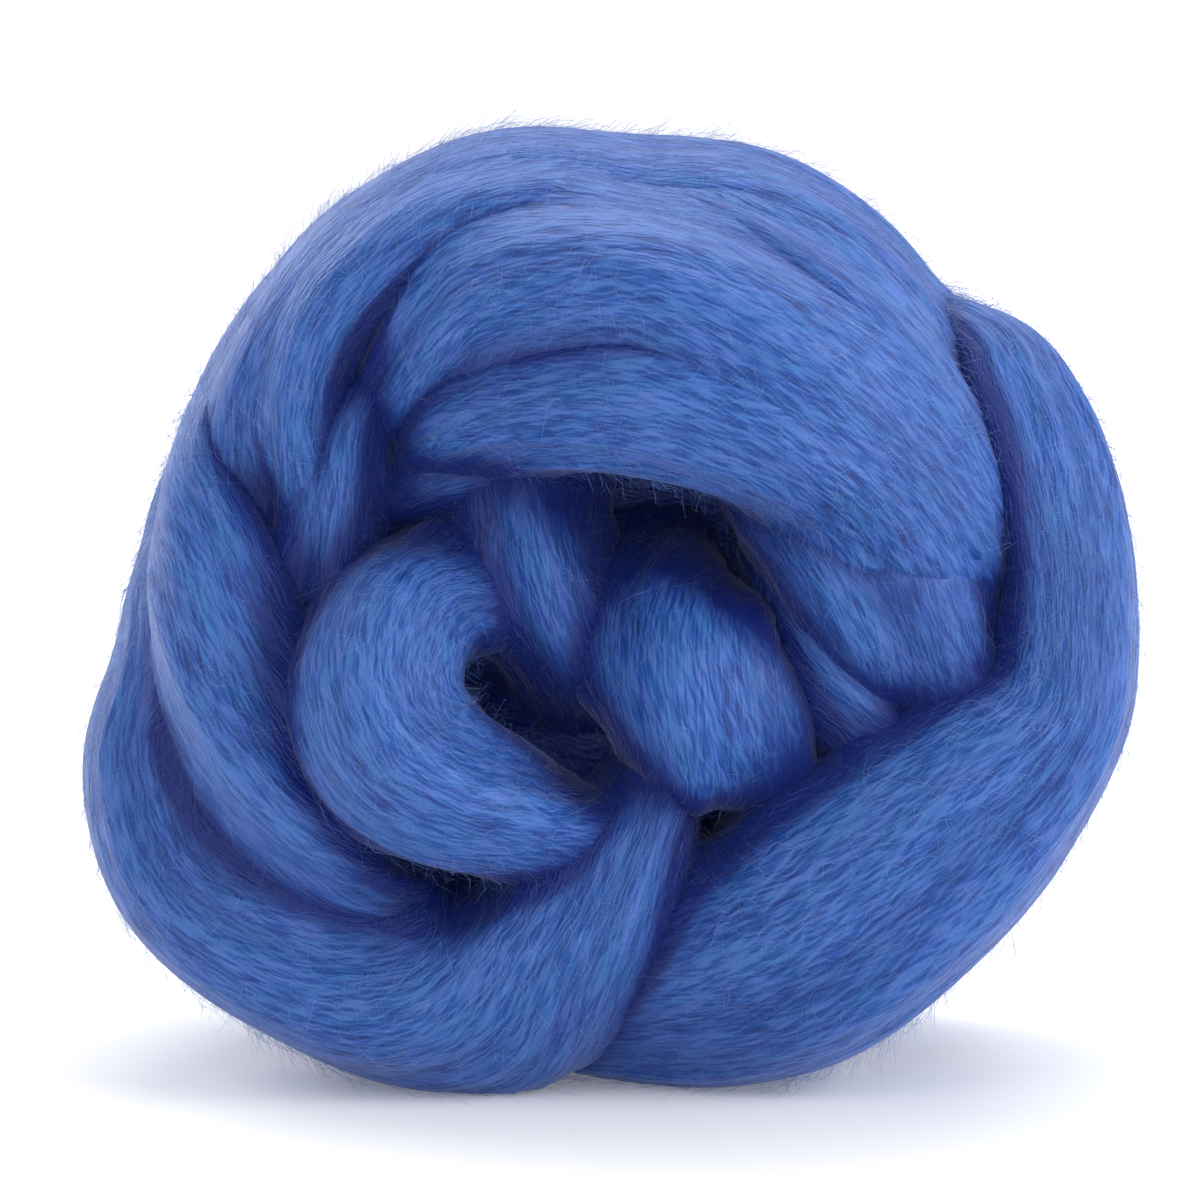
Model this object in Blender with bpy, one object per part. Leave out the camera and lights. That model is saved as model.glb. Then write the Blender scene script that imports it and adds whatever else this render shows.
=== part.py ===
"""Wool roving: one long combed sliver, wound by hand into a loose ball that stands on its flattened underside.

The ball is a solid heart with the turns of the sliver laid over it. Each turn is a soft rope of oval
section, swept along its own path. A Boolean union makes one body of them, and the underside is cut flat.
Tables are in millimetres; x runs to the right, y to the back and z up, from the middle of the base.
"""

import math
from collections import namedtuple

import bmesh
import bpy
from mathutils import Matrix, Vector

MM = 0.001

# The sliver as it lies: the facets of its skin, and the thick strands that it is twisted of.
FACET_ALONG = 6.5 * MM
FACET_AROUND = 6.5 * MM
STRANDS_IN_SECTION = 4
STRAND_RELIEF = 0.05
TWIST_LENGTH = 190.0 * MM
NOSE_LENGTH = 14.0 * MM
NOSE_BLUNTNESS = 0.35

# Points of the joined skin that lie closer than this are made one, which clears hair-thin slivers.
SLIVER = 0.02 * MM

# The heart that the turns are wound on, and the block that flattens the underside.
HEART_CENTRE = Vector((0.0, 3.0, 56.0)) * MM
HEART_RADII = Vector((52.0, 26.0, 58.5)) * MM
FLOOR_BLOCK = Vector((200.0, 200.0, 40.0)) * MM

WOOL_BLUE = (0.065, 0.145, 0.47, 1.0)
WOOL_ROUGHNESS = 0.85

# A section of a turn: its middle, half its breadth as seen from the front, and half its depth.
Section = namedtuple("Section", "x y z breadth depth")

TURNS = {
    "back_rim_left": (
        Section(16, 2, 18, 9, 10),
        Section(-6, 10, 10, 13.5, 16),
        Section(-31, 16, 14.5, 15.5, 19),
        Section(-48, 19, 32, 13, 20),
        Section(-53, 20, 54, 13, 20),
        Section(-51, 18, 76, 13, 19),
        Section(-43, 15, 94, 12, 18),
        Section(-26, 12, 107, 12, 17),
        Section(-5, 8, 113, 10, 16),
        Section(18, 2, 106, 8, 11),
    ),
    "back_rim_right": (
        Section(-30, 22, 94, 8, 10),
        Section(-8, 24, 106, 12, 16),
        Section(18, 20, 106, 13, 19),
        Section(38, 15, 96, 13, 20),
        Section(51, 10, 80, 13, 20),
        Section(55, 9, 60, 12.5, 20),
        Section(51, 12, 40, 13, 20),
        Section(40, 17, 22, 14, 19),
        Section(22, 20, 11.5, 15, 18),
        Section(-2, 16, 18, 9, 11),
    ),
    "back_under": (
        Section(0, 10, 100, 12, 8),
        Section(-14, 30, 100, 18, 14),
        Section(-26, 34, 74, 21, 14),
        Section(-18, 34, 44, 18, 14),
        Section(2, 16, 26, 12, 8),
    ),
    "back_shoulder": (
        Section(-20, 16, 98, 8, 10),
        Section(4, 31, 103, 12, 14),
        Section(26, 35, 91, 14, 15),
        Section(41, 31, 72, 13, 15),
        Section(47, 23, 52, 11, 13),
        Section(40, 8, 34, 8, 9),
    ),
    "back_sweep": (
        Section(-46, 8, 80, 9, 10),
        Section(-41, 28, 92, 12, 13),
        Section(-16, 39, 84, 16, 15),
        Section(9, 41, 66, 17, 15),
        Section(29, 39, 46, 15, 15),
        Section(40, 28, 28, 12, 13),
        Section(36, 12, 24, 8, 9),
    ),
    "back_crook": (
        Section(0, 18, 52, 8, 10),
        Section(-22, 36, 63, 11, 14),
        Section(-39, 34, 54, 13, 15),
        Section(-42, 30, 37, 13, 15),
        Section(-28, 31, 24, 13, 15),
        Section(-8, 34, 22, 13, 14),
        Section(12, 32, 28, 14, 14),
        Section(24, 18, 40, 11, 10),
    ),
    "rim_over": (
        Section(-36, 4, 60, 7, 9),
        Section(-46, -8, 79, 8, 16),
        Section(-48, -12, 95, 9, 18),
        Section(-41.5, -14, 107.5, 9, 19),
        Section(-32, -14, 117, 9, 19),
        Section(-16, -13, 125, 8, 18),
        Section(1, -13, 125, 7, 18),
        Section(18, -13, 122.5, 8, 18),
        Section(31.5, -13, 114.5, 8, 17),
        Section(41, -11, 103, 7, 15),
        Section(46, 0, 86, 5, 9),
    ),
    "right_band": (
        Section(26, 22, 98, 6, 9),
        Section(40, 10, 102, 7, 13),
        Section(52, -4, 100, 7, 15),
        Section(57.5, -11, 92.5, 8.5, 17),
        Section(60.5, -17, 82, 10.5, 19),
        Section(61.5, -20, 69, 11.5, 20.5),
        Section(59, -23, 54, 13, 21),
        Section(49.5, -25, 41, 16.5, 22),
        Section(37, -26, 30, 18.5, 22),
        Section(23, -24, 19.5, 18.5, 21.5),
        Section(8, -18, 12.5, 14, 17),
        Section(-8, -6, 11, 9, 12),
    ),
    "rim_strand": (
        Section(-39, -8, 76, 4, 8),
        Section(-40, -19, 89, 5.5, 12),
        Section(-38.5, -24, 100, 6, 14),
        Section(-34.5, -25, 111, 6, 15),
        Section(-23, -25, 121, 6, 15),
        Section(-8, -22, 124, 5.5, 14),
        Section(8, -14, 121, 5, 11),
    ),
    "under_hood": (
        Section(0, -10, 119, 5, 12),
        Section(10, -19, 120, 6, 14),
        Section(23, -24, 114.5, 7.5, 15),
        Section(35, -26, 104, 8.5, 15),
        Section(45.5, -24.5, 90, 9, 14),
        Section(52.5, -18, 75, 7, 12),
        Section(55, -8, 62, 5, 9),
    ),
    "left_base_fold": (
        Section(-40, 26, 90, 7, 10),
        Section(-54, 15, 80, 8, 14),
        Section(-60.5, 5, 68, 7.5, 17),
        Section(-62.5, -3, 56, 8.5, 19),
        Section(-64, -9, 43, 10.5, 20),
        Section(-58.5, -14, 30, 12.5, 21),
        Section(-46, -19, 20.5, 13.5, 21),
        Section(-31, -21, 14.5, 15, 21),
        Section(-16, -24, 15, 16.5, 20),
        Section(-3, -28, 25, 12, 18),
        Section(3, -27, 34.5, 8, 14),
        Section(4, -18, 39.5, 6, 11),
        Section(3, -5, 41, 4, 9),
    ),
    "left_inner_band": (
        Section(-37, 26, 99, 5, 9),
        Section(-46, 14, 97, 6, 12),
        Section(-52.5, 1, 92, 5.5, 14),
        Section(-56, -11, 83, 7, 15),
        Section(-54, -21, 71, 10, 17),
        Section(-51, -25, 56, 11.5, 18),
        Section(-46, -27, 42, 10.5, 17),
        Section(-37, -25, 31, 7.5, 14),
        Section(-26, -20, 26, 4, 9),
        Section(-14, -12, 28, 3, 6),
    ),
    "left_nook": (
        Section(-33, -14, 99, 4, 8),
        Section(-36.5, -23, 92, 5.5, 11),
        Section(-38.5, -24, 81, 6.5, 12),
        Section(-41, -19, 70, 6, 11),
        Section(-42.5, -10, 59, 4, 8),
    ),
    "hood": (
        Section(-27, -9, 95, 5, 8),
        Section(-25.5, -22, 102, 8.5, 12),
        Section(-14, -32.5, 111, 12.5, 16.5),
        Section(3.5, -37, 112, 13, 19),
        Section(19, -37, 104.5, 13.5, 20),
        Section(33, -33, 93.5, 12, 19),
        Section(43.5, -26, 80, 9.5, 15),
        Section(48, -10, 67, 6, 9),
    ),
    "hood_lip": (
        Section(-26, -5, 90, 4, 7),
        Section(-22.5, -19, 93, 6.5, 9.5),
        Section(-15, -31, 96.5, 8.5, 12.5),
        Section(-5, -38, 98.5, 10, 15),
        Section(4, -40.5, 98.5, 10.5, 16.5),
        Section(14, -40.5, 96, 10.5, 16.5),
        Section(24.5, -38, 91.5, 10.5, 16),
        Section(35, -34, 85, 10.5, 14.5),
        Section(43.5, -27, 77, 9, 12.5),
        Section(49, -12, 67, 6, 9),
    ),
    "hood_tail": (
        Section(-32, -14, 84, 4, 8),
        Section(-24.5, -20, 86, 6, 10),
        Section(-16, -20, 87.5, 7, 11),
        Section(-6, -15, 88, 5, 9),
        Section(4, -8, 87, 4, 7),
    ),
    "deep_turn": (
        Section(-12, 2, 50, 6, 10),
        Section(-1, 1, 42, 9.5, 12),
        Section(13, -5, 33, 10, 12),
        Section(27, -6, 30, 8.5, 12),
        Section(38, -2, 37, 6, 10),
    ),
    "centre_strand": (
        Section(-11, -11, 90, 9, 12),
        Section(-12, -22, 80.5, 10, 13),
        Section(-10.5, -25, 72, 9.5, 14),
        Section(-8, -21, 63, 8, 12),
        Section(-5.5, -12, 55, 6, 10),
        Section(-4, -1, 49, 4, 7),
    ),
    "left_lobe": (
        Section(-6, 4, 70, 6, 8),
        Section(-13, -8, 70.5, 7.5, 10),
        Section(-21, -20, 68.5, 9.5, 12),
        Section(-28.5, -31, 65, 12, 16),
        Section(-31.5, -38.5, 57.5, 12.5, 17.5),
        Section(-29.5, -39, 48.5, 12, 17.5),
        Section(-23.5, -38, 42.5, 10, 16),
        Section(-16, -33, 39.5, 8.5, 14),
        Section(-10, -24, 39, 7.5, 12),
        Section(-6, -11, 40, 5, 9),
    ),
    "right_lobe": (
        Section(1.5, -8, 78, 7, 8),
        Section(4.5, -19, 71, 10.5, 11),
        Section(8.5, -28, 63.5, 13, 13),
        Section(13, -32, 57, 13, 14),
        Section(17, -28.5, 51.5, 11.5, 12.5),
        Section(19, -19, 49, 8.5, 10),
        Section(19.5, -8, 48, 5, 7),
    ),
    "right_inner": (
        Section(19, -14, 84, 6, 9),
        Section(27, -25.5, 79.5, 9.5, 11.5),
        Section(34.5, -32, 73.5, 11.5, 12.5),
        Section(41.5, -32, 66.5, 11, 12),
        Section(47, -24.5, 60, 8, 10.5),
        Section(50, -12, 54, 5, 8),
    ),
    "right_curl": (
        Section(24, -6, 75, 6, 9),
        Section(27.5, -19, 66.5, 8, 12),
        Section(31.5, -23, 58.5, 8.5, 13),
        Section(36, -21, 51.5, 8, 12),
        Section(39.5, -11, 46, 5, 8),
    ),
}


def smooth_between(rows, share):
    """The section at this share of a turn, on a Catmull-Rom curve through its table."""
    position = share * (len(rows) - 1)
    start = min(int(position), len(rows) - 2)
    t = position - start
    points = [Vector(rows[min(max(start + k, 0), len(rows) - 1)]) for k in (-1, 0, 1, 2)]
    weights = (
        -0.5 * t + t**2 - 0.5 * t**3,
        1 - 2.5 * t**2 + 1.5 * t**3,
        0.5 * t + 2 * t**2 - 1.5 * t**3,
        -0.5 * t**2 + 0.5 * t**3,
    )
    blend = Vector([sum(w * p[i] for w, p in zip(weights, points)) for i in range(5)])
    return Vector(blend[:3]) * MM, blend[3] * MM, blend[4] * MM


def length_of(rows):
    """The length of a turn's centre line."""
    middles = [Vector(row[:3]) * MM for row in rows]
    return sum((b - a).length for a, b in zip(middles, middles[1:]))


def section_axes(rows, share):
    """The two directions of a section: across the turn as seen from the front, and into its depth."""
    step = 0.05
    before = smooth_between(rows, max(share - step, 0.0))[0]
    after = smooth_between(rows, min(share + step, 1.0))[0]
    along = (after - before).normalized()
    across = along.cross(Vector((0.0, 1.0, 0.0))).normalized()
    return across, across.cross(along)


def skin_point(rows, share, angle):
    """A point of the turn's skin, with the soft ridges of the strands that the sliver twists into."""
    middle, breadth, depth = smooth_between(rows, share)
    across, inward = section_axes(rows, share)
    length = length_of(rows)
    twist = 2 * math.pi * share * length / TWIST_LENGTH
    relief = 1 + STRAND_RELIEF * math.cos(STRANDS_IN_SECTION * (angle - twist))
    from_end = min(share, 1 - share) * length
    nose = math.sqrt(max(0.0, 1 - max(0.0, 1 - from_end / NOSE_LENGTH) ** 2))
    size = relief * (NOSE_BLUNTNESS + (1 - NOSE_BLUNTNESS) * nose)
    return middle + size * (across * breadth * math.cos(angle) + inward * depth * math.sin(angle))


def wound_turn(name, rows, collection):
    """One turn of the sliver as a closed rope with blunt tucked ends, kept as a guide for the union."""
    rings = round(length_of(rows) / FACET_ALONG)
    girth = max(math.pi * (row.breadth + row.depth) * MM for row in rows)
    sides = STRANDS_IN_SECTION * round(girth / FACET_AROUND / STRANDS_IN_SECTION)
    mesh = bmesh.new()
    bmesh.ops.create_grid(mesh, x_segments=rings, y_segments=sides, size=0.5)
    for vertex in mesh.verts:
        share, around = vertex.co.x + 0.5, vertex.co.y + 0.5
        vertex.co = skin_point(rows, share, 2 * math.pi * around)
    bmesh.ops.remove_doubles(mesh, verts=mesh.verts, dist=0.01 * MM)
    bmesh.ops.holes_fill(mesh, edges=[e for e in mesh.edges if e.is_boundary])
    bmesh.ops.recalc_face_normals(mesh, faces=mesh.faces)
    return guide(name, mesh, collection)


def guide(name, mesh, collection):
    """A mesh that shapes the roving and isn't part of it."""
    data = bpy.data.meshes.new(name)
    mesh.to_mesh(data)
    mesh.free()
    made = bpy.data.objects.new(name, data)
    made.hide_render = True
    made.display_type = "WIRE"
    collection.objects.link(made)
    return made


def wool():
    material = bpy.data.materials.new("dyed_wool")
    material.use_nodes = True
    shader = material.node_tree.nodes["Principled BSDF"]
    shader.inputs["Base Color"].default_value = WOOL_BLUE
    shader.inputs["Roughness"].default_value = WOOL_ROUGHNESS
    shader.inputs["Metallic"].default_value = 0.0
    return material


def fill_pockets(ball):
    """Keeps the outer skin alone, so that the pockets shut in between the turns become solid wool."""
    joined = ball.evaluated_get(bpy.context.evaluated_depsgraph_get())
    skin = bmesh.new()
    skin.from_mesh(joined.data)
    bmesh.ops.triangulate(skin, faces=skin.faces)
    bmesh.ops.remove_doubles(skin, verts=skin.verts, dist=SLIVER)
    unseen = set(skin.faces)
    islands = []
    while unseen:
        island = [unseen.pop()]
        for face in island:
            shared = [edge for edge in face.edges if edge.is_manifold]
            neighbours = {other for edge in shared for other in edge.link_faces} & unseen
            island.extend(neighbours)
            unseen -= neighbours
        islands.append(island)
    outer = max(islands, key=len)
    pockets = [face for island in islands if island is not outer for face in island]
    bmesh.ops.delete(skin, geom=pockets, context="FACES")
    ball.modifiers.clear()
    skin.to_mesh(ball.data)
    skin.free()


def roving(scene):
    """The ball: the heart joined with every turn, then cut flat at the surface it stands on."""
    turns = bpy.data.collections.new("turns")
    scene.collection.children.link(turns)
    for name, rows in TURNS.items():
        wound_turn(name, rows, turns)

    heart = bmesh.new()
    place = Matrix.Translation(HEART_CENTRE) @ Matrix.Diagonal((*HEART_RADII, 1.0))
    bmesh.ops.create_icosphere(heart, subdivisions=3, radius=1.0, matrix=place)
    data = bpy.data.meshes.new("roving")
    heart.to_mesh(data)
    heart.free()
    ball = bpy.data.objects.new("roving", data)
    scene.collection.objects.link(ball)
    data.materials.append(wool())

    block = bmesh.new()
    below = Matrix.Translation((0.0, 0.0, -FLOOR_BLOCK.z / 2)) @ Matrix.Diagonal((*FLOOR_BLOCK, 1.0))
    bmesh.ops.create_cube(block, size=1.0, matrix=below)
    cutter = guide("floor_block", block, scene.collection)

    joined = ball.modifiers.new("turns_joined", "BOOLEAN")
    joined.operation = "UNION"
    joined.operand_type = "COLLECTION"
    joined.collection = turns
    joined.solver = "EXACT"

    flattened = ball.modifiers.new("underside_flat", "BOOLEAN")
    flattened.operation = "DIFFERENCE"
    flattened.object = cutter
    flattened.solver = "EXACT"
    fill_pockets(ball)
    return ball


for leftover in list(bpy.data.objects):
    bpy.data.objects.remove(leftover)
roving(bpy.context.scene)
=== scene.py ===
"""Wool roving: a combed sliver of dyed wool, wound by hand into a loose ball on a pale floor.

The ball is put together in the order in which it is wound: the turns at its back first, then the
rim and the sides, the broad hood at the top, and last the swirl of small turns in the front. Each
turn is one closed skin with its fibres combed along it. When all of them have settled against one
another, the loose fibres are laid over them.
"""

import math
from collections import namedtuple

import bmesh
import bpy
import numpy as np
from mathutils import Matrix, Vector, noise
from mathutils.bvhtree import BVHTree


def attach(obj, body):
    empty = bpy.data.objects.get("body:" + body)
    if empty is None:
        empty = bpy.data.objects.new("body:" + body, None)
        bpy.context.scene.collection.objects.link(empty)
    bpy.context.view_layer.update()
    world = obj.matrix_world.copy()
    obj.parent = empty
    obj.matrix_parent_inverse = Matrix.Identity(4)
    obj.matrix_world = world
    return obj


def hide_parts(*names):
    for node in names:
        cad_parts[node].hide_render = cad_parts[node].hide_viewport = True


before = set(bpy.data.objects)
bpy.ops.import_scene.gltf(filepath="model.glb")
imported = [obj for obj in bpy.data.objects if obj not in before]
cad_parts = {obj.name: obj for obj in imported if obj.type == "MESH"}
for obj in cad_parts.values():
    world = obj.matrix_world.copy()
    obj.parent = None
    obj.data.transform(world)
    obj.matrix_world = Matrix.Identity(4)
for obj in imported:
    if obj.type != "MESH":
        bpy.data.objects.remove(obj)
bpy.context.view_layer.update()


# The camera looks at the swirl from the front and slightly from above, from a metre away. The
# picture plane through the middle of the ball is drawn at seven pixels to the millimetre.
PICTURE_PIXELS = 1200.0
METRES_PER_PIXEL = 0.001 / 7.0
BASE_PIXEL_X = 613.0
BASE_PIXEL_Y = 1054.0
VIEW_DISTANCE = 1.0
VIEW_ELEVATION = math.radians(7.0)
VIEW_END = 50.0
SENSOR = 36.0

picture_middle = PICTURE_PIXELS / 2
aim = Vector((
    (picture_middle - BASE_PIXEL_X) * METRES_PER_PIXEL,
    0.0,
    (BASE_PIXEL_Y - picture_middle) * METRES_PER_PIXEL / math.cos(VIEW_ELEVATION),
))
towards_camera = Vector((0.0, -math.cos(VIEW_ELEVATION), math.sin(VIEW_ELEVATION)))
camera = bpy.data.objects.new("camera", bpy.data.cameras.new("camera"))
camera.data.sensor_width = SENSOR
camera.data.lens = SENSOR * VIEW_DISTANCE / (PICTURE_PIXELS * METRES_PER_PIXEL)
camera.data.clip_end = VIEW_END
camera.location = aim + towards_camera * VIEW_DISTANCE
camera.rotation_euler = (-towards_camera).to_track_quat("-Z", "Y").to_euler()
bpy.context.scene.collection.objects.link(camera)
bpy.context.scene.camera = camera


# The floor is a wide white sheet that runs out of view and fades to white away from the ball. The
# light is plain studio light: a white room, and broad soft lights over the ball, in front of it, to
# its right, and behind it on the left.
FLOOR_SIDE = 24.0
FLOOR_DROP = 0.0002
ROOM_WHITE = (1.0, 1.0, 1.0, 1.0)
ROOM_STRENGTH = 0.58
FLOOR_FINISH = {
    "Base Color": (0.85, 0.85, 0.86, 1.0),
    "Roughness": 0.6,
    "Emission Color": ROOM_WHITE,
}
GLOW_NEAR = (0.15, 0.16)  # metres from the middle of the ball, and the floor's own glow there
GLOW_FAR = (1.40, 0.62)


def studio_light(name, place, side, power):
    """A square soft light that faces the ball."""
    lamp = bpy.data.lights.new(name, "AREA")
    lamp.size = side
    lamp.energy = power
    light = bpy.data.objects.new(name, lamp)
    light.location = place
    light.rotation_euler = (aim - Vector(place)).to_track_quat("-Z", "Y").to_euler()
    bpy.context.scene.collection.objects.link(light)


def finish_of(name, values):
    """A material with these values on its shader, with its nodes and the shader."""
    material = bpy.data.materials.new(name)
    material.use_nodes = True
    shader = material.node_tree.nodes["Principled BSDF"]
    for socket, value in values.items():
        shader.inputs[socket].default_value = value
    return material, material.node_tree, shader


def white_floor():
    """The sheet that the ball stands on, a hair below it."""
    material, tree, shader = finish_of("white_floor", FLOOR_FINISH)
    place = tree.nodes.new("ShaderNodeTexCoord")
    away = tree.nodes.new("ShaderNodeVectorMath")
    away.operation = "LENGTH"
    glow = tree.nodes.new("ShaderNodeMapRange")
    glow.inputs["From Min"].default_value, glow.inputs["To Min"].default_value = GLOW_NEAR
    glow.inputs["From Max"].default_value, glow.inputs["To Max"].default_value = GLOW_FAR
    tree.links.new(place.outputs["Object"], away.inputs[0])
    tree.links.new(away.outputs["Value"], glow.inputs["Value"])
    tree.links.new(glow.outputs["Result"], shader.inputs["Emission Strength"])
    sheet = bmesh.new()
    bmesh.ops.create_grid(sheet, x_segments=1, y_segments=1, size=FLOOR_SIDE / 2)
    bmesh.ops.translate(sheet, verts=sheet.verts, vec=(0.0, 0.0, -FLOOR_DROP))
    data = bpy.data.meshes.new("floor")
    sheet.to_mesh(data)
    sheet.free()
    data.materials.append(material)
    floor = bpy.data.objects.new("floor", data)
    bpy.context.scene.collection.objects.link(floor)


white_floor()
studio_light("light_overhead", (0.1, 0.4, 1.1), 1.0, 8.8)
studio_light("light_front", (-0.5, -1.0, 0.9), 0.8, 4.0)
studio_light("light_left", (-0.8, 0.8, 0.7), 0.8, 7.0)
studio_light("light_right", (1.0, -0.4, 0.5), 0.8, 9.0)
room = bpy.data.worlds.new("room")
room.use_nodes = True
room.node_tree.nodes["Background"].inputs["Color"].default_value = ROOM_WHITE
room.node_tree.nodes["Background"].inputs["Strength"].default_value = ROOM_STRENGTH
bpy.context.scene.world = room
bpy.context.scene.view_settings.view_transform = "Standard"


# The heart and the turns at the back: the first windings, laid flat over one another round a soft
# core. Each is the same combed sliver, a band of fibres that swells and narrows as it is pulled.

# A row gives the middle of a section, half its breadth and half its depth in millimetres, and how
# far its fibres lean from the way the turn runs, in degrees.
Section = namedtuple("Section", "x y z breadth depth lean")
Turn = namedtuple(
    "Turn", "name way faced middle along across inward breadth depth turned girth number seam"
)

MM = 0.001
STEPS_IN_TURN = 400
STRANDS_IN_SECTION = 4
STRAND_RELIEF = 0.045
NOSE_LENGTH = 14.0 * MM
NOSE_BLUNTNESS = 0.35
SWELL = (1.1 * MM, 16.0 * MM, 60.0 * MM)  # height, breadth and length of the soft forms in the wool
LOCK = (0.95 * MM, 5.0 * MM, 55.0 * MM)
FURROW = (0.55 * MM, 2.2 * MM, 30.0 * MM)
THIN_TURN = 7.0 * MM
LEAST_RELIEF = 0.2
SHEETS_APART = 50.0 * MM
OFF_THE_SEAM = 1.0e-6
FACET_ALONG = 2.2 * MM
FACET_AROUND = 1.0 * MM
ROOM_FOR_RELIEF = 1.25

turns = []
skins = {}


def laid_out(name, rows):
    """A turn's table as smooth arrays, one row for each of many steps along it."""
    table = np.array(rows, dtype=float)
    last = len(rows) - 1
    place = np.linspace(0.0, last, STEPS_IN_TURN)
    start = np.minimum(place.astype(int), last - 1)
    t = (place - start)[:, None]
    before, here, there, beyond = (table[np.clip(start + k, 0, last)] for k in (-1, 0, 1, 2))
    smooth = 0.5 * (
        before * (-t + 2 * t**2 - t**3)
        + here * (2 - 5 * t**2 + 3 * t**3)
        + there * (t + 4 * t**2 - 3 * t**3)
        + beyond * (-(t**2) + t**3)
    )
    middle = smooth[:, :3] * MM
    way = length_along(middle)
    along = unit(np.gradient(middle, axis=0))
    across = unit(np.cross(along, (0.0, 1.0, 0.0)))
    inward = np.cross(across, along)
    from_end = np.minimum(way, way[-1] - way)
    nose = np.sqrt(1 - np.clip(1 - from_end / NOSE_LENGTH, 0.0, 1.0) ** 2)
    size = NOSE_BLUNTNESS + (1 - NOSE_BLUNTNESS) * nose
    breadth = smooth[:, 3] * MM * size
    depth = smooth[:, 4] * MM * size
    full_round = (smooth[:, 3] + smooth[:, 4]) * MM / 2
    lean = np.tan(np.radians(smooth[:, 5])) / full_round
    front_or_back = np.sign(middle[:, 1].mean())
    faced = length_along(middle + inward * (depth * front_or_back)[:, None])
    turned = np.concatenate([[0.0], np.cumsum((lean[1:] + lean[:-1]) / 2 * np.diff(faced))])
    girth = 2 * math.pi * full_round.mean()
    seam = -math.pi / 2 * front_or_back
    course = (way, faced, middle, along, across, inward)
    return Turn(name, *course, breadth, depth, turned, girth, len(turns), seam)


def length_along(line):
    """The distance along a line of points at each of them."""
    return np.concatenate([[0.0], np.cumsum(np.linalg.norm(np.diff(line, axis=0), axis=1))])


def unit(vectors):
    """These vectors, each made one long."""
    return vectors / np.linalg.norm(vectors, axis=-1, keepdims=True)


def at(turn, way, column):
    """A column of a turn at these distances along it."""
    values = getattr(turn, column)
    if values.ndim == 1:
        return np.interp(way, turn.way, values)
    return np.stack([np.interp(way, turn.way, values[:, k]) for k in range(3)], axis=-1)


def combed_place(turn, way, angle):
    """Where a point lies in the sliver: round it, with the fibres' lean taken out, and along it."""
    around = angle - at(turn, way, "turned")
    reach = turn.girth / (2 * math.pi)
    along = at(turn, way, "faced") + turn.number
    return np.stack([reach * np.cos(around), reach * np.sin(around), along], axis=-1)


def lay_of(turn, way, angle):
    """The same place laid out flat, with the seam on the side that is hidden in the ball."""
    around = np.mod(angle - turn.seam + OFF_THE_SEAM, 2 * math.pi) - at(turn, way, "turned")
    reach = turn.girth / (2 * math.pi)
    sheet = np.full(len(way), SHEETS_APART * turn.number)
    return np.stack([reach * around, at(turn, way, "faced"), sheet], axis=-1)


def waves(places, height, breadth, length):
    """Soft noise that is much longer along the fibres than across them."""
    scaled = places / np.array([breadth, breadth, length])
    return height * np.array([noise.noise(place) for place in scaled.tolist()])


def skin(turn, way, angle):
    """Points of a turn's skin, the ways it faces there, and how far each is raised."""
    breadth, depth = at(turn, way, "breadth"), at(turn, way, "depth")
    across, inward = at(turn, way, "across"), at(turn, way, "inward")
    places = combed_place(turn, way, angle)
    around = angle - at(turn, way, "turned")
    relief = 1 + STRAND_RELIEF * np.cos(STRANDS_IN_SECTION * around)
    raised = waves(places, *SWELL) + waves(places, *LOCK) + waves(places, *FURROW)
    raised *= np.clip(np.minimum(breadth, depth) / THIN_TURN, LEAST_RELIEF, 1.0)
    cosine, sine = np.cos(angle), np.sin(angle)
    out = unit(across * (cosine / breadth)[:, None] + inward * (sine / depth)[:, None])
    points = at(turn, way, "middle")
    points = points + across * (relief * breadth * cosine)[:, None]
    points = points + inward * (relief * depth * sine)[:, None]
    points = points + out * raised[:, None]
    return points, out, raised


def wind(name, rows, coarse=1.0):
    """Lays one turn: a fine grid to be rolled into a closed skin with blunt tucked noses."""
    turn = laid_out(name, [Section(*row) for row in rows])
    turns.append(turn)
    rings = round(turn.faced[-1] / (coarse * FACET_ALONG))
    sides = round(turn.girth * ROOM_FOR_RELIEF / (coarse * FACET_AROUND))
    grid = bmesh.new()
    bmesh.ops.create_grid(grid, x_segments=rings, y_segments=sides, size=0.5)
    skins[name] = (grid, rings, sides)


wind("heart", (
    (-46, 4, 57, 26, 12, 0),
    (-30, 3, 57, 44, 20, 0),
    (0, 3, 57, 54, 23, 0),
    (28, 3, 57, 44, 20, 0),
    (44, 4, 57, 26, 12, 0),
), coarse=2.2)
wind("back_rim_left", (
    (16, 2, 18, 9, 10, 6),
    (-6, 10, 10, 13.5, 16, 6),
    (-31, 16, 14.5, 15.5, 19, 6),
    (-48, 19, 32, 13, 20, 6),
    (-53, 20, 54, 13, 20, 6),
    (-51, 18, 76, 13, 19, 6),
    (-43, 15, 94, 12, 18, 6),
    (-26, 12, 107, 12, 17, 6),
    (-5, 8, 113, 10, 16, 6),
    (18, 2, 106, 8, 11, 6),
), coarse=1.5)
wind("back_rim_right", (
    (-30, 22, 94, 8, 10, 6),
    (-8, 24, 106, 12, 16, 6),
    (18, 20, 106, 13, 19, 6),
    (38, 15, 96, 13, 20, 6),
    (51, 10, 80, 13, 20, 6),
    (55, 9, 60, 12.5, 20, 6),
    (51, 12, 40, 13, 20, 6),
    (40, 17, 22, 14, 19, 6),
    (22, 20, 11.5, 15, 18, 6),
    (-2, 16, 18, 9, 11, 6),
), coarse=1.5)
wind("back_under", (
    (0, 10, 100, 12, 8, 6),
    (-14, 30, 100, 18, 14, 6),
    (-26, 34, 74, 21, 14, 6),
    (-18, 34, 44, 18, 14, 6),
    (2, 16, 26, 12, 8, 6),
), coarse=1.5)
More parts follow.
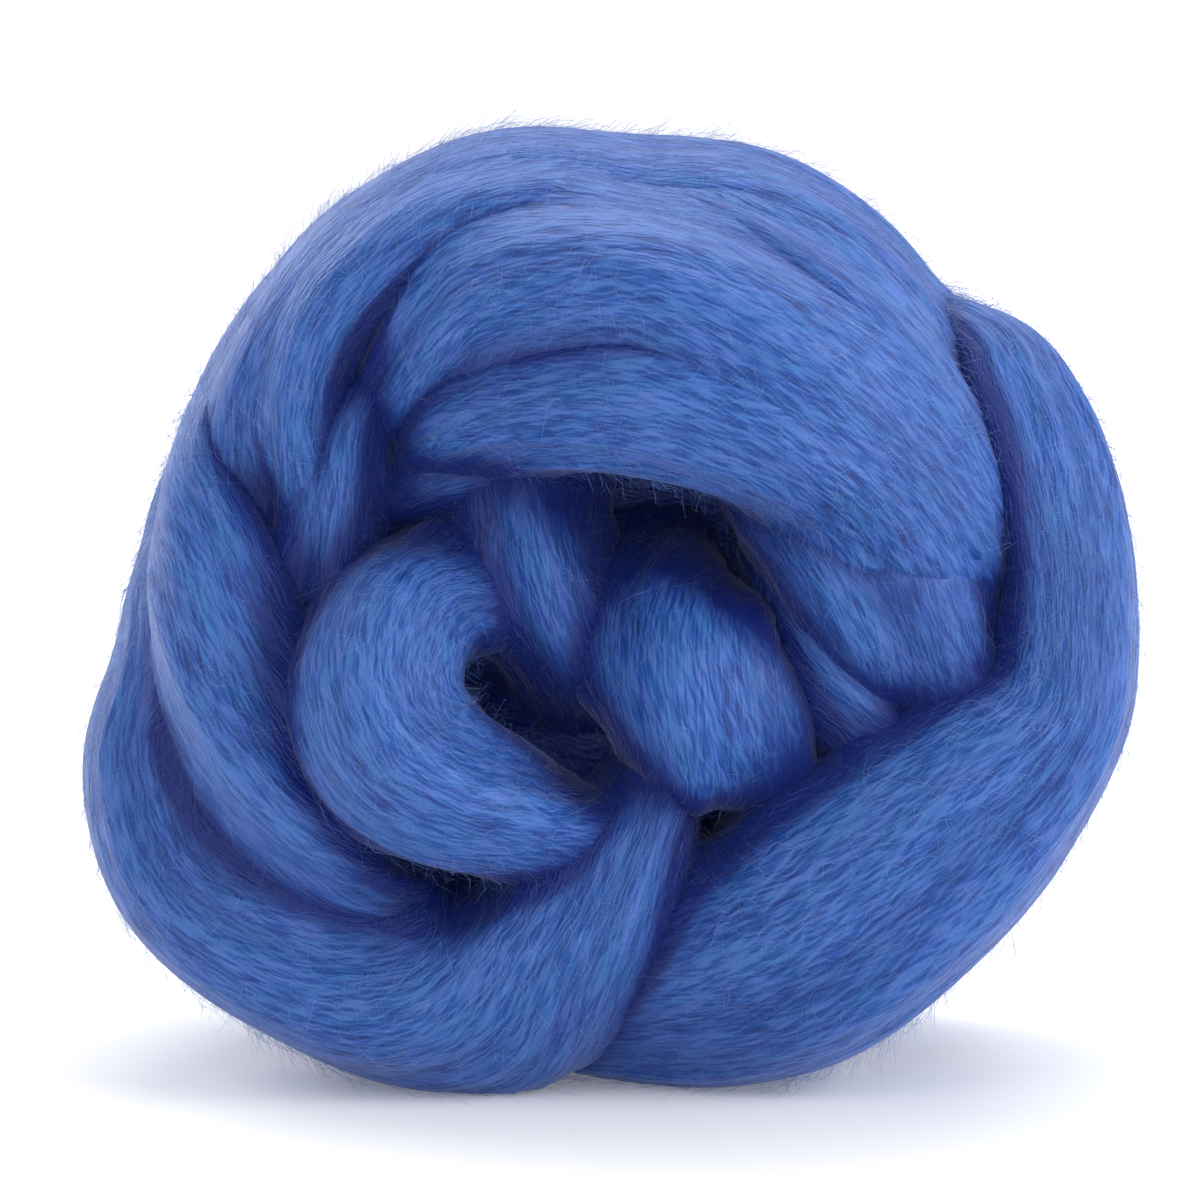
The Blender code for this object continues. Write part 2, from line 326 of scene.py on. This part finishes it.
wind("back_shoulder", (
    (-20, 16, 98, 8, 10, 6),
    (4, 31, 103, 12, 14, 6),
    (26, 35, 91, 14, 15, 6),
    (41, 31, 72, 13, 15, 6),
    (47, 23, 52, 11, 13, 6),
    (40, 8, 34, 8, 9, 6),
), coarse=1.5)
wind("back_sweep", (
    (-46, 8, 80, 9, 10, 6),
    (-41, 28, 92, 12, 13, 6),
    (-16, 39, 84, 16, 15, 6),
    (9, 41, 66, 17, 15, 6),
    (29, 39, 46, 15, 15, 6),
    (40, 28, 28, 12, 13, 6),
    (36, 12, 24, 8, 9, 6),
), coarse=1.5)
wind("back_crook", (
    (0, 18, 52, 8, 10, 10),
    (-22, 36, 63, 11, 14, 10),
    (-39, 34, 54, 13, 15, 10),
    (-42, 30, 37, 13, 15, 10),
    (-28, 31, 24, 13, 15, 10),
    (-8, 34, 22, 13, 14, 10),
    (12, 32, 28, 14, 14, 10),
    (24, 18, 40, 11, 10, 10),
), coarse=1.5)


# The rim: the sliver comes up the left side, runs over the top and dives behind the hood on the
# right. The next turn rises there, swells as it runs down the right side, and is tucked under.
wind("rim_over", (
    (-36, 4, 60, 7, 9, 6),
    (-46, -8, 79, 8, 16, 6),
    (-48, -12, 95, 9, 18, 6),
    (-41.5, -14, 107.5, 9, 19, 6),
    (-32, -14, 117, 9, 19, 6),
    (-16, -13, 125, 8, 18, 6),
    (1, -13, 125, 7, 18, 6),
    (18, -13, 122.5, 8, 18, 6),
    (31.5, -13, 114.5, 8, 17, 6),
    (41, -11, 103, 7, 15, 6),
    (46, 0, 86, 5, 9, 6),
))
wind("right_band", (
    (26, 22, 98, 6, 9, -4),
    (40, 10, 102, 7, 13, -4),
    (52, -4, 100, 7, 15, -4),
    (57, -12, 92.5, 9.5, 17, -4),
    (60.5, -17, 82, 10.5, 19, -4),
    (62.5, -20, 69, 10.5, 20.5, -4),
    (61, -23, 54, 11.5, 21, -4),
    (49.5, -25, 41, 16.5, 22, -4),
    (37, -26, 30, 18.5, 22, -4),
    (23, -24, 19.5, 18.5, 21.5, -4),
    (8, -18, 12.5, 14, 17, -4),
    (-8, -6, 11, 9, 12, -4),
))
wind("rim_strand", (
    (-39, -8, 76, 4, 8, 6),
    (-43, -19, 88, 5, 12, 6),
    (-42, -24, 100, 5.5, 14, 6),
    (-36, -25, 111, 6, 15, 6),
    (-23, -25, 121, 6, 15, 6),
    (-8, -22, 124, 5.5, 14, 6),
    (8, -14, 121, 5, 11, 6),
))
wind("under_hood", (
    (0, -10, 119, 5, 12, 4),
    (10, -19, 120, 6, 14, 4),
    (23, -24, 114.5, 7.5, 15, 4),
    (35, -26, 104, 8.5, 15, 4),
    (43.5, -24.5, 90, 9, 14, 4),
    (50, -18, 75, 7, 12, 4),
    (55, -8, 62, 5, 9, 4),
))


# The left side: one turn comes down the outside, lies along the floor and folds up into the middle
# of the ball, where its fibres fan out and stand up. Another runs down inside it, and a thin one
# closes the nook beside the hood.
wind("left_base_fold", (
    (-40, 26, 90, 7, 10, 6),
    (-54, 15, 80, 8, 14, 6),
    (-60.5, 5, 68, 7.5, 17, 6),
    (-62.5, -3, 56, 8.5, 19, 6),
    (-64, -9, 43, 10.5, 20, 6),
    (-58.5, -14, 30, 12.5, 21, 6),
    (-46, -19, 20.5, 13.5, 21, 12),
    (-31, -21, 14.5, 15, 21, 26),
    (-16, -24, 15, 16.5, 20, 38),
    (-3, -28, 25, 12, 18, 24),
    (3, -27, 34.5, 8, 14, 4),
    (4, -18, 39.5, 6, 11, 0),
    (3, -5, 41, 4, 9, 0),
))
wind("left_inner_band", (
    (-37, 26, 99, 5, 9, 14),
    (-46, 14, 97, 6, 12, 14),
    (-52.5, 1, 92, 5.5, 14, 14),
    (-56, -11, 83, 7, 15, 16),
    (-54, -21, 71, 10, 17, 18),
    (-51, -25, 56, 11.5, 18, 22),
    (-46, -27, 42, 10.5, 17, 22),
    (-37, -25, 31, 7.5, 14, 14),
    (-26, -20, 26, 4, 9, 8),
    (-14, -12, 28, 3, 6, 8),
))
wind("left_nook", (
    (-33, -14, 99, 4, 8, 6),
    (-36.5, -23, 92, 5.5, 11, 6),
    (-38.5, -24, 81, 6.5, 12, 6),
    (-41, -19, 70, 6, 11, 6),
    (-42.5, -10, 59, 4, 8, 6),
))


# The hood: the broadest turn, spread over the top of the front. It gathers into a dark nook on the
# left, from where its lower lip runs straight across, and a thin tail of it lies underneath.
wind("hood", (
    (-27, -9, 95, 5, 8, 4),
    (-25.5, -22, 102, 8.5, 12, 4),
    (-14, -32.5, 111, 12.5, 16.5, 4),
    (3.5, -37, 112, 13, 19, 4),
    (19, -37, 104.5, 13.5, 20, 4),
    (33, -33, 93.5, 12, 19, 4),
    (43.5, -26, 80, 9.5, 15, 4),
    (48, -10, 67, 6, 9, 4),
))
wind("hood_lip", (
    (-26, -5, 90, 4, 7, 0),
    (-22.5, -19, 93, 6.5, 9.5, 0),
    (-15, -31, 96.5, 8.5, 12.5, 0),
    (-5, -38, 98.5, 10, 15, 0),
    (4, -40.5, 98.5, 10.5, 16.5, 0),
    (14, -40.5, 96, 10.5, 16.5, -3),
    (24.5, -38, 91.5, 10.5, 16, -6),
    (35, -34, 85, 10.5, 14.5, -8),
    (43.5, -27, 77, 9, 12.5, -8),
    (49, -12, 67, 6, 9, -8),
))
wind("hood_tail", (
    (-32, -12, 81, 5, 8, 4),
    (-24.5, -20, 85, 7, 10, 4),
    (-16, -20, 87.5, 7, 11, 4),
    (-6, -15, 88, 5, 9, 4),
    (4, -8, 87, 4, 7, 4),
))


# The swirl in the middle: short soft turns pushed into the opening under the hood. The left one
# curls round a deep hole, the right one folds forward over itself, and the others lie behind and
# beside them.
wind("deep_turn", (
    (-12, 10, 45, 6, 9, 5),
    (-1, 8, 38, 8.5, 10, 5),
    (13, -7, 33.5, 9.5, 11, 5),
    (27, -10, 31, 8.5, 12, 5),
    (38, -2, 37, 6, 10, 5),
))
wind("centre_strand", (
    (-11, -11, 90, 9, 12, 4),
    (-12, -22, 80.5, 10, 13, 4),
    (-10.5, -25, 72, 9.5, 14, 4),
    (-8, -21, 63, 8, 12, 4),
    (-5.5, -12, 55, 6, 10, 4),
    (-4, -1, 49, 4, 7, 4),
))
wind("left_lobe", (
    (-6, 4, 70, 6, 8, 8),
    (-13, -8, 70.5, 7.5, 10, 8),
    (-21.5, -20, 70, 9, 12, 10),
    (-29.5, -31, 65.5, 10.5, 15.5, 14),
    (-32, -38, 57.5, 11.2, 16.5, 14),
    (-29.5, -39, 50, 11.8, 17, 12),
    (-24, -38.5, 45, 10.8, 16, 10),
    (-17, -35, 41.5, 9, 14, 8),
    (-10.5, -28, 38.5, 7, 11.5, 8),
    (-6.5, -16, 36, 5.5, 9, 8),
))
wind("right_lobe", (
    (1.5, -5, 76.5, 7, 8, -20),
    (4.5, -15, 70, 10, 10.5, -24),
    (8, -27.5, 62.5, 12.6, 12.5, -26),
    (12.5, -32.5, 56.5, 13.4, 14, -26),
    (17, -28.5, 51.5, 11.5, 12.5, -24),
    (19, -19, 49, 8.5, 10, -20),
    (19.5, -8, 48, 5, 7, -20),
))
wind("right_inner", (
    (19, -14, 84, 6, 9, -10),
    (27, -25.5, 79.5, 9.5, 11.5, -14),
    (34.5, -32, 73.5, 11.5, 12.5, -18),
    (41.5, -32, 66.5, 11, 12, -18),
    (47, -24.5, 60, 8, 10.5, -14),
    (50, -12, 54, 5, 8, -10),
))
wind("right_curl", (
    (24, -6, 75, 6, 9, 20),
    (27.5, -19, 66.5, 8, 12, 20),
    (31.5, -23, 58.5, 8.5, 13, 20),
    (36, -21, 51.5, 8, 12, 20),
    (39.5, -11, 46, 5, 8, 20),
))


# The skins settle against one another: the fibres of touching turns mingle, so the crease between
# two turns is filled to a soft hollow. Shade is painted into the colour there: the more a place is
# shut in by the wool round it, the darker its blue. The wool is combed hairs that cross at small
# angles, gathered in locks, pale over deep blue.
MINGLE_REACH = 8.0 * MM
STATION_STRIDE = 4
BOX_MARGIN = 12.0 * MM
FAR_OFF = 1.0
NEAREST_RING = 0.05
BURIED = 1.5 * MM
# The painted shade: rays look out from each point of a skin, and the more of them meet wool near
# by, the darker the colour is painted there; the bottoms of furrows are painted darker too.
LOOKS = 20
LOOKS_FROM = 0.8 * MM
LOOKS_AS_FAR = 28.0 * MM
OPEN_ENOUGH = 0.04
SHUT_IN = 0.26
DEPTH_CURVE = 1.3
FURROW_SHADE = 0.35
FURROW_DEPTH = 1.0 * MM
WELD = 0.001 * MM

WOOL_FINISH = {
    "Roughness": 0.5,
    "Specular IOR Level": 0.45,
    "Specular Tint": (0.80, 0.86, 1.0, 1.0),
    "Sheen Weight": 0.25,
    "Sheen Roughness": 0.35,
    "Sheen Tint": (0.68, 0.72, 1.0, 1.0),
}
# A tone's streaks: their breadth, length and detail, the span of noise that shows, and its share.
Tone = namedtuple("Tone", "breadth length detail low high most")

HAIRS_ONE_WAY = Tone(0.36 * MM, 4.5 * MM, 0.0, 0.32, 0.68, 0.46)
HAIRS_OTHER_WAY = Tone(0.50 * MM, 5.0 * MM, 1.0, 0.38, 0.66, 0.46)
LOCK_STREAKS = Tone(1.1 * MM, 16.0 * MM, 2.0, 0.34, 0.66, 0.38)
UNEVEN_DYE = Tone(6.0 * MM, 45.0 * MM, 1.0, 0.35, 0.65, 0.20)
CAST_PATCHES = (2.4 * MM, 10.0 * MM, 1.0)  # breadth, length and detail
SWAY_ONE_WAY = (1.5 * MM, 3.0 * MM, 0.7 * MM)  # breadth, length and reach
SWAY_OTHER_WAY = (2.1 * MM, 4.0 * MM, 1.0 * MM)
SWAY_OF_LOCKS = (5.0 * MM, 12.0 * MM, 2.5 * MM)
HAIR_SLANT = 0.12
HAIR_RELIEF = (0.6, 0.28 * MM)  # strength and distance
# The dark blue that painted shade mixes into the dye in creases, holes and furrows.
PAINTED_SHADE_BLUE = (0.002, 0.014, 0.150, 1.0)
PLAIN_BLUE = (0.006, 0.064, 0.305, 1.0)
WOOL_BLUES = (
    (0.14, (0.002, 0.027, 0.165, 1.0)),
    (0.52, PLAIN_BLUE),
    (1.0, (0.046, 0.138, 0.435, 1.0)),
)
COLD_TO_LILAC = (
    (0.36, (0.80, 1.0, 0.96, 1.0)),
    (0.64, (1.25, 0.96, 1.02, 1.0)),
)

settled = {}
notes = {}


def gap_to(turn, points):
    """How far these points stand off a turn's skin, negative inside it and large far from it."""
    gap = np.full(len(points), FAR_OFF)
    reach = max(turn.breadth.max(), turn.depth.max()) + BOX_MARGIN
    low, high = turn.middle.min(axis=0) - reach, turn.middle.max(axis=0) + reach
    near = np.flatnonzero(((points > low) & (points < high)).all(axis=1))
    if not len(near):
        return gap
    every = slice(None, None, STATION_STRIDE)
    middle = turn.middle[every]
    picked = points[near]
    apart = (middle**2).sum(axis=1) - 2 * picked @ middle.T
    station = apart.argmin(axis=1)
    offset = picked - middle[station]
    over = (offset * turn.across[every][station]).sum(axis=1)
    deep = (offset * turn.inward[every][station]).sum(axis=1)
    ahead = (offset * turn.along[every][station]).sum(axis=1)
    ring = np.hypot(over / turn.breadth[every][station], deep / turn.depth[every][station])
    ring = np.maximum(ring, NEAREST_RING)
    beside = np.hypot(over, deep) * (1 - 1 / ring)
    beyond = np.abs(ahead) - turn.way[-1] / len(middle)
    gap[near] = np.maximum(beside, beyond)
    return gap


def nearest_gap(turn, points):
    """How far these points stand off the nearest of the other turns."""
    return np.min([gap_to(other, points) for other in turns if other is not turn], axis=0)


def noted_on(tree, name):
    """What a mesh notes at each of its points."""
    note = tree.nodes.new("ShaderNodeAttribute")
    note.attribute_name = name
    return note.outputs


def dyed(tree, tone, stops):
    """The colour of the dye for a tone, from these stops."""
    dye = tree.nodes.new("ShaderNodeValToRGB")
    ramp = dye.color_ramp.elements
    for element, (position, colour) in zip(ramp, (stops[0], stops[-1])):
        element.position, element.color = position, colour
    for position, colour in stops[1:-1]:
        ramp.new(position).color = colour
    tree.links.new(tone, dye.inputs["Fac"])
    return dye.outputs["Color"]


def combed_material(name):
    """Combed wool, along the lay of each turn, with painted shade darkening it in creases and
    holes.
    """
    material, tree, shader = finish_of(name, WOOL_FINISH)

    def noise_of(source, breadth, length, detail, output="Fac"):
        stretch = tree.nodes.new("ShaderNodeMapping")
        stretch.inputs["Scale"].default_value = (1 / breadth, 1 / length, 1 / SHEETS_APART)
        pattern = tree.nodes.new("ShaderNodeTexNoise")
        pattern.inputs["Scale"].default_value = 1.0
        pattern.inputs["Detail"].default_value = detail
        tree.links.new(source, stretch.inputs["Vector"])
        tree.links.new(stretch.outputs["Vector"], pattern.inputs["Vector"])
        return pattern.outputs[output]

    def swayed(source, breadth, length, reach):
        sway = tree.nodes.new("ShaderNodeVectorMath")
        sway.operation = "MULTIPLY_ADD"
        sway.inputs[1].default_value = (reach, 0.0, 0.0)
        tree.links.new(noise_of(source, breadth, length, 1.0, "Color"), sway.inputs[0])
        tree.links.new(source, sway.inputs[2])
        return sway.outputs["Vector"]

    def slanted(source, slant):
        part = tree.nodes.new("ShaderNodeSeparateXYZ")
        drift = tree.nodes.new("ShaderNodeCombineXYZ")
        moved = tree.nodes.new("ShaderNodeVectorMath")
        moved.operation = "MULTIPLY_ADD"
        moved.inputs[1].default_value = (slant, 0.0, 0.0)
        tree.links.new(source, part.inputs["Vector"])
        tree.links.new(part.outputs["Y"], drift.inputs["X"])
        tree.links.new(drift.outputs["Vector"], moved.inputs[0])
        tree.links.new(source, moved.inputs[2])
        return moved.outputs["Vector"]

    def toned(source, tone):
        span = tree.nodes.new("ShaderNodeMapRange")
        span.inputs["From Min"].default_value = tone.low
        span.inputs["From Max"].default_value = tone.high
        span.inputs["To Max"].default_value = tone.most
        streaks = noise_of(source, tone.breadth, tone.length, tone.detail)
        tree.links.new(streaks, span.inputs["Value"])
        return span.outputs["Result"]

    def added(first, second):
        total = tree.nodes.new("ShaderNodeMath")
        tree.links.new(first, total.inputs[0])
        tree.links.new(second, total.inputs[1])
        return total.outputs["Value"]

    def blended(kind, first, second, share):
        blend = tree.nodes.new("ShaderNodeMix")
        blend.data_type = "RGBA"
        blend.blend_type = kind
        for socket, source in (("Factor", share), ("A", first), ("B", second)):
            if isinstance(source, bpy.types.NodeSocket):
                tree.links.new(source, blend.inputs[socket])
            else:
                blend.inputs[socket].default_value = source
        return blend.outputs["Result"]

    place = noted_on(tree, "lay")["Vector"]
    one_way = swayed(slanted(place, HAIR_SLANT), *SWAY_ONE_WAY)
    other_way = swayed(slanted(place, -HAIR_SLANT), *SWAY_OTHER_WAY)
    hairs = added(toned(one_way, HAIRS_ONE_WAY), toned(other_way, HAIRS_OTHER_WAY))
    locks = toned(swayed(place, *SWAY_OF_LOCKS), LOCK_STREAKS)
    tone = added(hairs, added(locks, toned(place, UNEVEN_DYE)))
    cast = dyed(tree, noise_of(other_way, *CAST_PATCHES), COLD_TO_LILAC)
    uneven = blended("MULTIPLY", dyed(tree, tone, WOOL_BLUES), cast, 1.0)
    # Painted shade: the dye is mixed towards dark blue by the shade noted on the skin.
    painted_shade = blended("MIX", uneven, PAINTED_SHADE_BLUE, noted_on(tree, "shade")["Fac"])
    tree.links.new(painted_shade, shader.inputs["Base Color"])
    relief = tree.nodes.new("ShaderNodeBump")
    relief.inputs["Strength"].default_value, relief.inputs["Distance"].default_value = HAIR_RELIEF
    tree.links.new(added(hairs, locks), relief.inputs["Height"])
    tree.links.new(relief.outputs["Normal"], shader.inputs["Normal"])
    return material


combed_wool = combed_material("combed_wool")


def finished(name, data):
    """A piece of the ball from its mesh, in the dyed wool's finish, in place of the solid."""
    piece = bpy.data.objects.new(name, data)
    bpy.context.scene.collection.objects.link(piece)
    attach(piece, "root")
    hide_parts("roving")
    return piece


def settle(turn):
    """Rolls a turn's grid into its skin and fills its creases."""
    grid = skins[turn.name][0]
    flat = np.array([vertex.co for vertex in grid.verts])[:, :2] + 0.5
    way = flat[:, 0] * turn.way[-1]
    angle = flat[:, 1] * 2 * math.pi
    points, out, raised = skin(turn, way, angle)
    gap = nearest_gap(turn, points)
    filled = np.clip(1 - np.abs(gap) / MINGLE_REACH, 0.0, 1.0) ** 2 * MINGLE_REACH / 4
    points = points + out * filled[:, None]
    points[:, 2] = np.maximum(points[:, 2], 0.0)
    for vertex, point in zip(grid.verts, points):
        vertex.co = point
    settled[turn.name] = (flat, way, angle, points, out, raised, gap, filled)


def all_skins():
    """Every settled skin in one tree of faces, to look along rays through the ball."""
    corners, faces = [], []
    for turn in turns:
        first = len(corners)
        grid = skins[turn.name][0]
        corners += [vertex.co.copy() for vertex in grid.verts]
        faces += [[first + vertex.index for vertex in face.verts] for face in grid.faces]
    return BVHTree.FromPolygons(corners, faces)


def shut_in(tree, point, out):
    """How far a place is shut in by the wool round it, from 0 in the open to 1 in a narrow hole."""
    out = Vector(out)
    beside = out.orthogonal().normalized()
    above = out.cross(beside)
    start = Vector(point) + out * LOOKS_FROM
    total = 0.0
    for look in range(LOOKS):
        spread = math.sqrt((look + 0.5) / LOOKS)
        swing = look * math.pi * (3 - math.sqrt(5))
        way = beside * (spread * math.cos(swing)) + above * (spread * math.sin(swing))
        way += out * math.sqrt(1 - spread**2)
        distance = tree.ray_cast(start, way, LOOKS_AS_FAR)[3]
        total += 0.0 if distance is None else 1 - distance / LOOKS_AS_FAR
    return total / LOOKS


def finish_skin(turn, tree):
    """Notes on a turn's skin how its fibres lie and how much painted shade it gets, and closes its
    mesh.
    """
    grid, rings, sides = skins[turn.name]
    flat, way, angle, points, out, raised, gap, filled = settled[turn.name]
    # Painted shade from how shut in each point is, and darker again in the bottoms of furrows.
    painted_shade = np.ones(len(points))
    for index in np.flatnonzero(gap > -BURIED):
        painted_shade[index] = shut_in(tree, points[index], out[index])
    painted_shade = np.clip((painted_shade - OPEN_ENOUGH) / (SHUT_IN - OPEN_ENOUGH), 0.0, 1.0) ** DEPTH_CURVE
    painted_shade = np.clip(painted_shade - FURROW_SHADE * raised / FURROW_DEPTH * (1 - painted_shade), 0.0, 1.0)
    column, row = np.rint(flat * (rings, sides)).astype(int).T
    noted = np.zeros((rings + 1, sides + 1, 3))
    noted[column, row] = np.stack([gap, filled, painted_shade], axis=1)
    notes[turn.name] = noted
    lay = grid.verts.layers.float_vector.new("lay")
    shade = grid.verts.layers.float.new("shade")
    for vertex, place, painted_shade_here in zip(grid.verts, lay_of(turn, way, angle), painted_shade):
        vertex[lay] = place
        vertex[shade] = painted_shade_here
    bmesh.ops.remove_doubles(grid, verts=grid.verts, dist=WELD)
    bmesh.ops.holes_fill(grid, edges=[edge for edge in grid.edges if edge.is_boundary])
    bmesh.ops.recalc_face_normals(grid, faces=grid.faces)
    data = bpy.data.meshes.new(turn.name)
    grid.to_mesh(data)
    grid.free()
    data.shade_smooth()
    data.materials.append(combed_wool)
    finished(turn.name, data)


for turn in turns:
    settle(turn)
tree = all_skins()
for turn in turns:
    finish_skin(turn, tree)


# The loose fibres: single crimped hairs of the same wool that stand a little proud of the skins.
# Some lie almost with the comb, some stray across it in loops, and most stand off as a short fuzz.
FIBRE_SIDES = 3
FIRST_SEED = 100
SQUARE_CENTIMETRES = 1.0e4
TUCKED_ENDS = 0.01
FACES_BACK = 0.35
BACK_SHARE = 0.45
GAP, FILLED, PAINTED_SHADE_LAYER = range(3)
CRIMP_LENGTH = 3.2 * MM
BOW_LEVEL = 0.33
ROOT_DEPTH = 0.15 * MM
FREE_END_CURVE = 1.5
CREASE_SHADE = 0.8
TAPER = (0.12, 0.88)
LOOSE_FINISH = {
    "Roughness": 0.5,
    "Specular IOR Level": 0.15,
    "Sheen Weight": 0.35,
    "Sheen Tint": (0.62, 0.76, 1.0, 1.0),
}
LOOSE_BLUES = (
    (0.0, PAINTED_SHADE_BLUE),
    (0.5, PLAIN_BLUE),
    (1.0, (0.22, 0.34, 0.72, 1.0)),
)

# A kind gives its fibres to the square centimetre, their lengths, rings and radius, how far they
# slant in degrees, how high they arch and hang loose, how they curl and crimp, and their tones.
FibreKind = namedtuple(
    "FibreKind", "name density length rings radius slant lift loose curl crimp tones"
)
FIBRE_KINDS = (
    FibreKind("combed", 4, (6, 12), 6, 0.022, 10, 0.12, 0.18, 0.8, 0.12, (0.55, 0.9)),
    FibreKind("stray", 1.6, (7, 18), 12, 0.022, 34, 0.45, 0.6, 4.5, 0.25, (0.6, 0.95)),
    FibreKind("fuzz", 46, (2.0, 4.5), 4, 0.020, 38, 0.50, 1.8, 1.6, 0.30, (0.6, 0.95)),
)


def looked_up(turn, way, angle, layer):
    """One layer of what was noted on a turn's skin, read between its points."""
    noted = notes[turn.name][:, :, layer]
    rings, sides = noted.shape[0] - 1, noted.shape[1] - 1
    along = np.clip(way / turn.way[-1], 0.0, 1.0) * rings
    round_it = np.mod(angle / (2 * math.pi), 1.0) * sides
    i, j = np.minimum(along.astype(int), rings - 1), np.minimum(round_it.astype(int), sides - 1)
    u, v = along - i, round_it - j
    near = noted[i, j] * (1 - v) + noted[i, j + 1] * v
    far = noted[i + 1, j] * (1 - v) + noted[i + 1, j + 1] * v
    return near * (1 - u) + far * u


def fibre_paths(turn, kind, random):
    """Points along the fibres of one kind on a turn, the ways they face, and a tone for each."""
    count = round(turn.way[-1] * turn.girth * SQUARE_CENTIMETRES * kind.density)
    middle = random.uniform(TUCKED_ENDS, 1 - TUCKED_ENDS, count) * turn.way[-1]
    angle = random.uniform(0.0, 2 * math.pi, count)
    facing = skin_way(turn, middle, angle)
    shown = looked_up(turn, middle, angle, GAP) > 0.0
    shown &= (facing[:, 1] < FACES_BACK) | (random.random(count) < BACK_SHARE)
    middle, angle = middle[shown], angle[shown]
    count = len(middle)
    length = random.uniform(*kind.length, count) * MM
    share = np.linspace(-0.5, 0.5, kind.rings)
    reach = ((at(turn, middle, "breadth") + at(turn, middle, "depth")) / 2)[:, None]
    slant = np.radians(random.normal(0.0, kind.slant, count))[:, None]
    forward = length[:, None] * share * np.cos(slant)
    bow = random.normal(0.0, kind.curl * MM, count)[:, None] * (4 * share**2 - BOW_LEVEL)
    phase = random.uniform(0.0, 2 * math.pi, count)[:, None]
    crimp = kind.crimp * MM * np.sin(length[:, None] * share / CRIMP_LENGTH * 2 * math.pi + phase)
    sideways = length[:, None] * share * np.sin(slant) + bow + crimp
    way = np.interp(at(turn, middle, "faced")[:, None] + forward, turn.faced, turn.way)
    turned = at(turn, way, "turned") - at(turn, middle, "turned")[:, None]
    angles = angle[:, None] + turned + sideways / reach
    lift = np.abs(random.normal(kind.lift, kind.lift / 2, count))[:, None] * MM
    arch = lift * np.cos(math.pi * share)
    loose = np.abs(random.normal(0.0, kind.loose, count))[:, None] * MM
    free = loose * (share + 0.5) ** FREE_END_CURVE
    root = ROOT_DEPTH * (share == -0.5)
    points, facing, _ = skin(turn, way.ravel(), angles.ravel())
    proud = looked_up(turn, way.ravel(), angles.ravel(), FILLED) + (arch + free - root).ravel()
    points = points + facing * proud[:, None]
    points[:, 2] = np.maximum(points[:, 2], 2 * kind.radius * MM)
    shape = (count, kind.rings, 3)
    tones = random.uniform(*kind.tones, count)
    # Painted shade: fibres that lie in creases and holes are given darker tones.
    tones *= 1 - CREASE_SHADE * looked_up(turn, middle, angle, PAINTED_SHADE_LAYER)
    return points.reshape(shape), facing.reshape(shape), tones


def skin_way(turn, way, angle):
    """The ways that a turn's skin faces at these places."""
    across, inward = at(turn, way, "across"), at(turn, way, "inward")
    over = (np.cos(angle) / at(turn, way, "breadth"))[:, None]
    deep = (np.sin(angle) / at(turn, way, "depth"))[:, None]
    return unit(across * over + inward * deep)


def hairs(points, facing, radius):
    """Vertices and faces of thin three-sided hairs, tapered and closed at both ends."""
    rings = points.shape[1]
    along = unit(np.gradient(points, axis=1))
    beside = unit(np.cross(along, facing))
    above = np.cross(beside, along)
    corner = 2 * math.pi * np.arange(FIBRE_SIDES) / FIBRE_SIDES + math.pi / 2
    ring = beside[:, :, None] * np.cos(corner)[:, None]
    ring = ring + above[:, :, None] * np.sin(corner)[:, None]
    taper = np.sqrt(np.sin(np.linspace(*TAPER, rings) * math.pi))
    vertices = points[:, :, None] + ring * (radius * taper)[None, :, None, None]
    quads = []
    for level in range(rings - 1):
        for side in range(FIBRE_SIDES):
            here = level * FIBRE_SIDES + side
            beyond = level * FIBRE_SIDES + (side + 1) % FIBRE_SIDES
            quads.append([here, here + FIBRE_SIDES, beyond + FIBRE_SIDES, beyond])
    last = (rings - 1) * FIBRE_SIDES
    ends = [list(range(FIBRE_SIDES)), [last + k for k in reversed(range(FIBRE_SIDES))]]
    first = np.arange(len(points))[:, None, None] * rings * FIBRE_SIDES
    faces = (first + np.array(quads)).reshape(-1, 4).tolist()
    faces += (first + np.array(ends)).reshape(-1, 3).tolist()
    return vertices.reshape(-1, 3), faces


def loose_wool():
    """The material of single fibres: the same dye, from deep to pale, one tone to a fibre; fibres
    in creases have tones deepened as painted shade.
    """
    material, tree, shader = finish_of("loose_wool", LOOSE_FINISH)
    blue = dyed(tree, noted_on(tree, "tone")["Fac"], LOOSE_BLUES)
    tree.links.new(blue, shader.inputs["Base Color"])
    return material


loose_material = loose_wool()
for turn in turns[1:]:
    random = np.random.default_rng(FIRST_SEED + turn.number)
    for kind in FIBRE_KINDS:
        points, facing, tones = fibre_paths(turn, kind, random)
        if not len(points):
            continue
        vertices, faces = hairs(points, facing, kind.radius * MM)
        data = bpy.data.meshes.new(f"{kind.name}_{turn.name}")
        data.from_pydata(vertices.tolist(), [], faces)
        tone = data.attributes.new("tone", "FLOAT", "POINT")
        tone.data.foreach_set("value", np.repeat(tones, kind.rings * FIBRE_SIDES))
        data.shade_smooth()
        data.materials.append(loose_material)
        finished(data.name, data)
